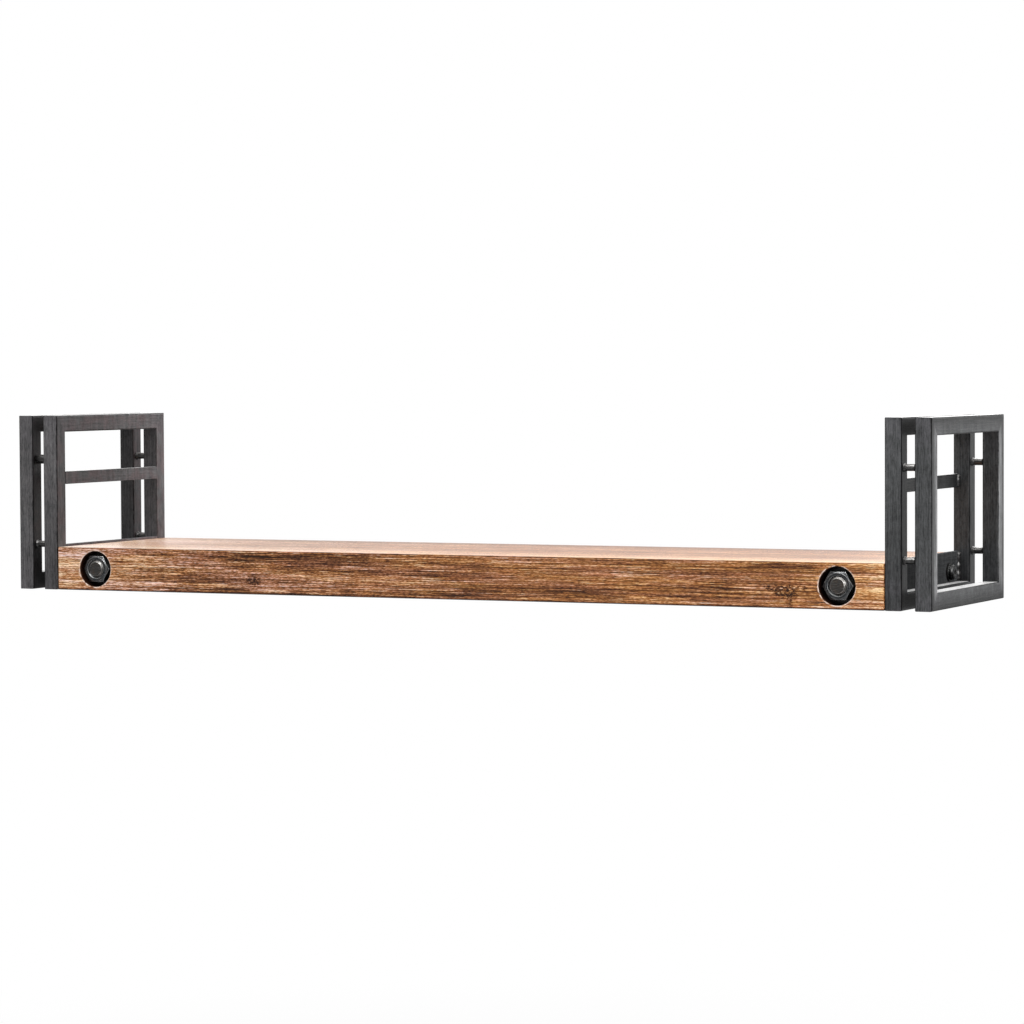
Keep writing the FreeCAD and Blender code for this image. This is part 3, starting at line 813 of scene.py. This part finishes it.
def make_fastener(name, colour, stain, worn_and_lit, metallic, roughness, shine, turn):
    """Oiled turned or forged metal: stains, scratches, bright worn edges, painted gleam and painted shade."""
    material, net, finish = new_material(name)
    spot = place_in_mm(net)
    stains = grain(net, spot, *METAL_GRAINS["stains"])
    scratches = grain(net, spot, *METAL_GRAINS["scratches"])
    worn_and_lit_edges = wear_and_highlight_mask(net, spot, *METAL_WEAR_AND_HIGHLIGHT)
    turned = net.vector("DOT_PRODUCT", net.normal(), PAINTED_LIGHT_WAY)
    clean = net.ease(stains, *GLEAM_IN_STAINS)
    # A painted highlight on what faces the light's way
    gleam = net.times(net.ease(turned, turn, FULL_GLEAM, 0.0, shine), clean)
    base = net.mix(net.times(stains, STAIN_DEPTH), colour, stain)
    base = net.mix(net.times(scratches, SCRATCH_DEPTH), base, worn_and_lit)
    base = net.mix(net.times(net.highest(worn_and_lit_edges, gleam), WORN_AND_GLEAM_DEPTH), base, worn_and_lit)
    # Painted shade on what turns away from the light's way
    base = net.mix(net.ease(turned, *SHADE_FACING), base, FASTENER_SHADE)
    net.feed(finish["Base Color"], base)
    net.feed(finish["Roughness"], net.plus(roughness, net.times(stains, STAIN_ROUGHNESS)))
    net.feed(finish["Normal"], net.bump(*METAL_BUMP, stains))
    set_constants(finish, {"Metallic": metallic, **METAL_OIL})
    return material


plank_wood = make_plank_wood()
post_steel = make_frame_steel("post_steel", "Z", side_light=0.8, gloss=1.0)
rail_steel = make_frame_steel("rail_steel", "Y", side_light=0.0, gloss=1.0)
plate_steel = make_frame_steel("plate_steel", "Y", side_light=0.0, gloss=0.0)
# Each metal as its colour, its stains, its worn edges and painted highlights, how metallic, how rough,
# how bright its painted gleam is, and how near to the light's way it has to face for that
METALS = {
    "spacer_steel": (paint(62, 61, 61), paint(48, 46, 45), paint(215, 213, 210), 0.9, 0.34, 1.0, 0.48),
    "stud_steel": (paint(62, 60, 58), paint(78, 66, 57), paint(232, 230, 226), 0.9, 0.34, 0.4, 0.5),
    "nut_steel": (paint(50, 53, 56), paint(66, 58, 53), paint(226, 228, 228), 0.9, 0.3, 0.9, 0.72),
    "washer_steel": (paint(24, 24, 24), paint(20, 19, 18), paint(60, 60, 58), 0.7, 0.55, 0.3, 0.48),
    "screw_steel": (paint(22, 22, 24), paint(18, 18, 18), paint(226, 226, 224), 0.9, 0.34, 0.1, 0.48),
    "weld_steel": (paint(56, 55, 55), paint(36, 34, 34), paint(160, 158, 156), 0.8, 0.4, 0.6, 0.48),
    "insert_brass": (paint(196, 158, 88), paint(120, 88, 48), paint(230, 205, 150), 1.0, 0.35, 0.5, 0.48),
}
metals = {name: make_fastener(name, *look) for name, look in METALS.items()}

# Finishes by a node's whole name, or else by the last word of it
FINISHES = {
    "plank": plank_wood,
    "front_studs": metals["stud_steel"],
    "front_nuts": metals["nut_steel"],
    "front_washers": metals["washer_steel"],
    "end_screws": metals["screw_steel"],
    "end_screw_washers": metals["washer_steel"],
    "threaded_inserts": metals["insert_brass"],
}
KINDS = {
    "post": post_steel,
    "rail": rail_steel,
    "bar": rail_steel,
    "plate": plate_steel,
    "spacer": metals["spacer_steel"],
}
for name, node in nodes.items():
    finish = FINISHES.get(name) or KINDS[name.rsplit("_", 1)[-1]]
    for slot in node.material_slots:
        slot.material = finish


# Welds that hold the flat bars, the end plates and the spacers, in millimetres

SIDES = ("left", "right")
LEVELS = ("lower", "upper")
STATIONS = ("front", "rear")
BEAD_SIDES = 14
# Radius of the upright welds, and length of one of their puddles
BAR_WELDS = {"mid_bar": (2.4, 6.0), "end_plate": (2.9, 6.8)}
# How far they sit back from the outer faces and from the posts
WELD_INSET = 1.2
RINGS_PER_PUDDLE = 4
# How blunt their ends are, and how much the drops there and the puddles between swell
END_BLUNTNESS = 0.2
END_SWELL = 0.3
PUDDLE_SWELL = 0.2
BAR_UNEVENNESS = 0.16
SPACER_UNEVENNESS = 0.07
# Shape of the spacers' welds: distance from the post, and how far they stand out from the spacer
WELD_STEPS = ((-0.2, 1.1), (0.4, 0.9), (1.0, 0.6), (1.7, 0.25), (2.3, 0.05))
HEAVY_WELD = "left_upper_front_spacer"
HEAVY_STEPS = ((-0.2, 0.3), (1.6, 0.6), (3.4, 0.9), (5.6, 1.1), (7.8, 1.1), (9.8, 0.8), (11.3, 0.2))
HEAVY_RISE = 1.7


def add_bead(shape, rings, placing, dice, unevenness):
    """A lumpy weld: a closed solid through rings given as (distance along it, radius)."""
    every = []
    loops = []
    for distance, radius in rings:
        circle = bmesh.ops.create_circle(shape, segments=BEAD_SIDES, radius=radius)["verts"]
        loops.append(list({edge for vert in circle for edge in vert.link_edges}))
        for vert in circle:
            uneven = dice.uniform(1 - unevenness, 1 + unevenness)
            vert.co = (vert.co.x * uneven, vert.co.y * uneven, distance)
        every += circle
    for near, far in zip(loops, loops[1:]):
        bmesh.ops.bridge_loops(shape, edges=near + far)
    for end in (loops[0], loops[-1]):
        bmesh.ops.contextual_create(shape, geom=end)
    bmesh.ops.transform(shape, verts=every, matrix=placing)


def finish_mesh(shape, name, material):
    """The bmesh as a smooth piece that rides with the shelf."""
    bmesh.ops.scale(shape, verts=shape.verts, vec=(MM, MM, MM))
    bmesh.ops.recalc_face_normals(shape, faces=shape.faces)
    mesh = bpy.data.meshes.new(name)
    shape.to_mesh(mesh)
    shape.free()
    mesh.materials.append(material)
    mesh.shade_smooth()
    piece = bpy.data.objects.new(name, mesh)
    scene.collection.objects.link(piece)
    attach(piece, "root")


def box_in_mm(name):
    low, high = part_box(name)
    return low * PER_METRE, high * PER_METRE


def ripple_rings(length, radius, pitch):
    """Rings of a run of weld puddles, with a fat drop at both ends."""
    count = max(RINGS_PER_PUDDLE, round(length / pitch) * RINGS_PER_PUDDLE)
    rings = []
    for number in range(count + 1):
        share = number / count
        to_end = min(share, 1 - share) * length
        rounding = min(1.0, math.sqrt(to_end / radius) + END_BLUNTNESS)
        drop = 1 + END_SWELL * math.exp(-((to_end - radius) / radius) ** 2)
        puddle = 1 + PUDDLE_SWELL * math.cos(2 * math.pi * share * length / pitch)
        rings.append((share * length, radius * rounding * drop * puddle))
    return rings


def add_bar_welds(side):
    """Upright fillet welds outside the flat bar and the end plate, at their joints with the posts."""
    dice = random.Random(f"{side} bars")
    shape = bmesh.new()
    for bar, (radius, pitch) in BAR_WELDS.items():
        low, high = box_in_mm(f"{side}_{bar}")
        outer_x = low.x + WELD_INSET if side == "left" else high.x - WELD_INSET
        for y in (low.y + WELD_INSET, high.y - WELD_INSET):
            rings = ripple_rings(high.z - low.z, radius, pitch)
            add_bead(shape, rings, Matrix.Translation((outer_x, y, low.z)), dice, BAR_UNEVENNESS)
    finish_mesh(shape, f"{side}_bar_welds", metals["weld_steel"])


def add_spacer_welds(side):
    """Flared ring welds round both ends of each spacer, one of them much heavier than the others."""
    dice = random.Random(f"{side} spacers")
    shape = bmesh.new()
    for level in LEVELS:
        for station in STATIONS:
            spacer = f"{side}_{level}_{station}_spacer"
            low, high = box_in_mm(spacer)
            pin = (high.z - low.z) / 2
            middle = (low + high) / 2
            for x, turn in ((low.x, math.pi / 2), (high.x, -math.pi / 2)):
                heavy = spacer == HEAVY_WELD and x == low.x
                steps, rise = (HEAVY_STEPS, HEAVY_RISE) if heavy else (WELD_STEPS, 0.0)
                rings = [(distance, pin + flare) for distance, flare in steps]
                place = Matrix.Translation((x, middle.y, middle.z + rise))
                add_bead(shape, rings, place @ Matrix.Rotation(turn, 4, "Y"), dice, SPACER_UNEVENNESS)
    finish_mesh(shape, f"{side}_spacer_welds", metals["weld_steel"])


for side in SIDES:
    add_bar_welds(side)
    add_spacer_welds(side)


# Floor, light and camera, in metres

FLOOR_DROP = 0.6
FLOOR_REACH = 40.0
FLOOR_COLOUR = paint(240, 240, 240)
FLOOR_ROUGHNESS = 0.9
# How white the floor is seen: below the shelf, beyond this distance from it, and in reflections
WHITE_BELOW = 0.7
WHITE_FROM = 1.6
WHITE_MIRRORED = 0.1
WORLD_LEVEL = 0.45
WORLD_IN_FRONT = 0.4
# The way to the brightest air in reflections: behind the shelf, above it and to its right
BRIGHT_WAY = (0.25, 0.75, 0.61)
BRIGHT_LIMITS = (-0.7, 0.4)
# Soft boxes: place, target, width, height and power
PANELS = {
    "right_panel": ((1.4, -0.35, 0.5), (0.45, 0.0, 0.08), 0.7, 0.7, 8.0),
    "top_panel": ((0.15, -0.45, 1.45), (0.0, 0.0, 0.04), 1.5, 0.7, 11.0),
    "front_panel": ((0.1, -1.6, 1.35), (0.0, 0.0, 0.05), 1.0, 0.7, 14.0),
    "back_panel": ((0.5, 1.3, 0.9), (0.2, 0.0, 0.1), 1.4, 0.8, 12.0),
}
# The camera stands where the photograph's perspective puts it. Its angles are yaw, pitch and roll.
CAMERA_PLACE = (1.47038, -3.04616, 0.21229)
CAMERA_ANGLES = (25.52, -2.322, -0.29)
CAMERA_SETTINGS = {"lens": 128.7, "sensor_width": 36.0, "clip_start": 0.05, "clip_end": 200.0}


def make_floor():
    """A wide pale floor well below the shelf. It is seen from above only."""
    shape = bmesh.new()
    bmesh.ops.create_grid(shape, x_segments=1, y_segments=1, size=FLOOR_REACH)
    bmesh.ops.translate(shape, verts=shape.verts, vec=(0.0, 0.0, cad_low.z - FLOOR_DROP))
    mesh = bpy.data.meshes.new("floor")
    shape.to_mesh(mesh)
    shape.free()
    floor = bpy.data.objects.new("floor", mesh)
    scene.collection.objects.link(floor)
    material, net, finish = new_material("pale_floor")
    set_constants(finish, {"Base Color": FLOOR_COLOUR, "Roughness": FLOOR_ROUGHNESS})
    output = next(node for node in material.node_tree.nodes if node.type == "OUTPUT_MATERIAL")
    surface = output.inputs["Surface"]
    painted = surface.links[0].from_socket
    white = net.add("Emission", {"Color": WHITE, "Strength": 1.0}).outputs[0]
    clear = net.add("BsdfTransparent").outputs[0]
    seen = net.add("LightPath").outputs
    away = net.vector("LENGTH", net.add("TexCoord").outputs["Object"])
    whiteness = net.ease(away, FLOOR_DROP, WHITE_FROM, WHITE_BELOW, 1.0)
    lit = net.times(seen["Is Camera Ray"], whiteness)
    whitened = net.highest(lit, net.times(seen["Is Glossy Ray"], WHITE_MIRRORED))
    below = net.add("NewGeometry").outputs["Backfacing"]
    net.feed(surface, net.mix_shaders(below, net.mix_shaders(whitened, painted, white), clear))
    mesh.materials.append(material)


def make_world():
    """White where it is seen, softer where it lights the shelf. Mirrored, it is darker in front."""
    world = bpy.data.worlds.new("studio")
    world.use_nodes = True
    world.node_tree.nodes.clear()
    net = Net(world.node_tree)
    seen = net.add("LightPath").outputs
    way = net.vector("NORMALIZE", net.add("TexCoord").outputs["Generated"])
    behind = net.vector("DOT_PRODUCT", way, BRIGHT_WAY)
    mirrored = net.ease(behind, *BRIGHT_LIMITS, WORLD_IN_FRONT, 1.0)
    shining = net.highest(seen["Is Glossy Ray"], seen["Is Transmission Ray"])
    level = net.add("MapRange", {"Value": shining, "To Min": WORLD_LEVEL, "To Max": mirrored}).outputs[0]
    level = net.highest(level, seen["Is Camera Ray"])
    back = net.add("Background", {"Color": WHITE, "Strength": level})
    output = net.add("OutputWorld")
    net.feed(output.inputs["Surface"], back.outputs[0])
    scene.world = world


def add_panel(name, place, target, width, height, power):
    """A soft box that faces its target."""
    lamp = bpy.data.lights.new(name, "AREA")
    lamp.shape = "RECTANGLE"
    lamp.size = width
    lamp.size_y = height
    lamp.energy = power
    panel = bpy.data.objects.new(name, lamp)
    panel.location = place
    panel.rotation_euler = (Vector(target) - Vector(place)).to_track_quat("-Z", "Y").to_euler()
    scene.collection.objects.link(panel)


def add_camera():
    """The photograph's view of the shelf."""
    lens = bpy.data.cameras.new("camera")
    for name, value in CAMERA_SETTINGS.items():
        setattr(lens, name, value)
    camera = bpy.data.objects.new("camera", lens)
    camera.location = CAMERA_PLACE
    yaw, pitch, roll = (math.radians(angle) for angle in CAMERA_ANGLES)
    tilted = Matrix.Rotation(math.pi / 2 + pitch, 3, "X") @ Matrix.Rotation(roll, 3, "Z")
    camera.rotation_euler = (Matrix.Rotation(yaw, 3, "Z") @ tilted).to_euler()
    scene.collection.objects.link(camera)
    scene.camera = camera


make_floor()
make_world()
for name, panel in PANELS.items():
    add_panel(name, *panel)
add_camera()
scene.view_settings.view_transform = "Standard"

bpy.context.view_layer.update()
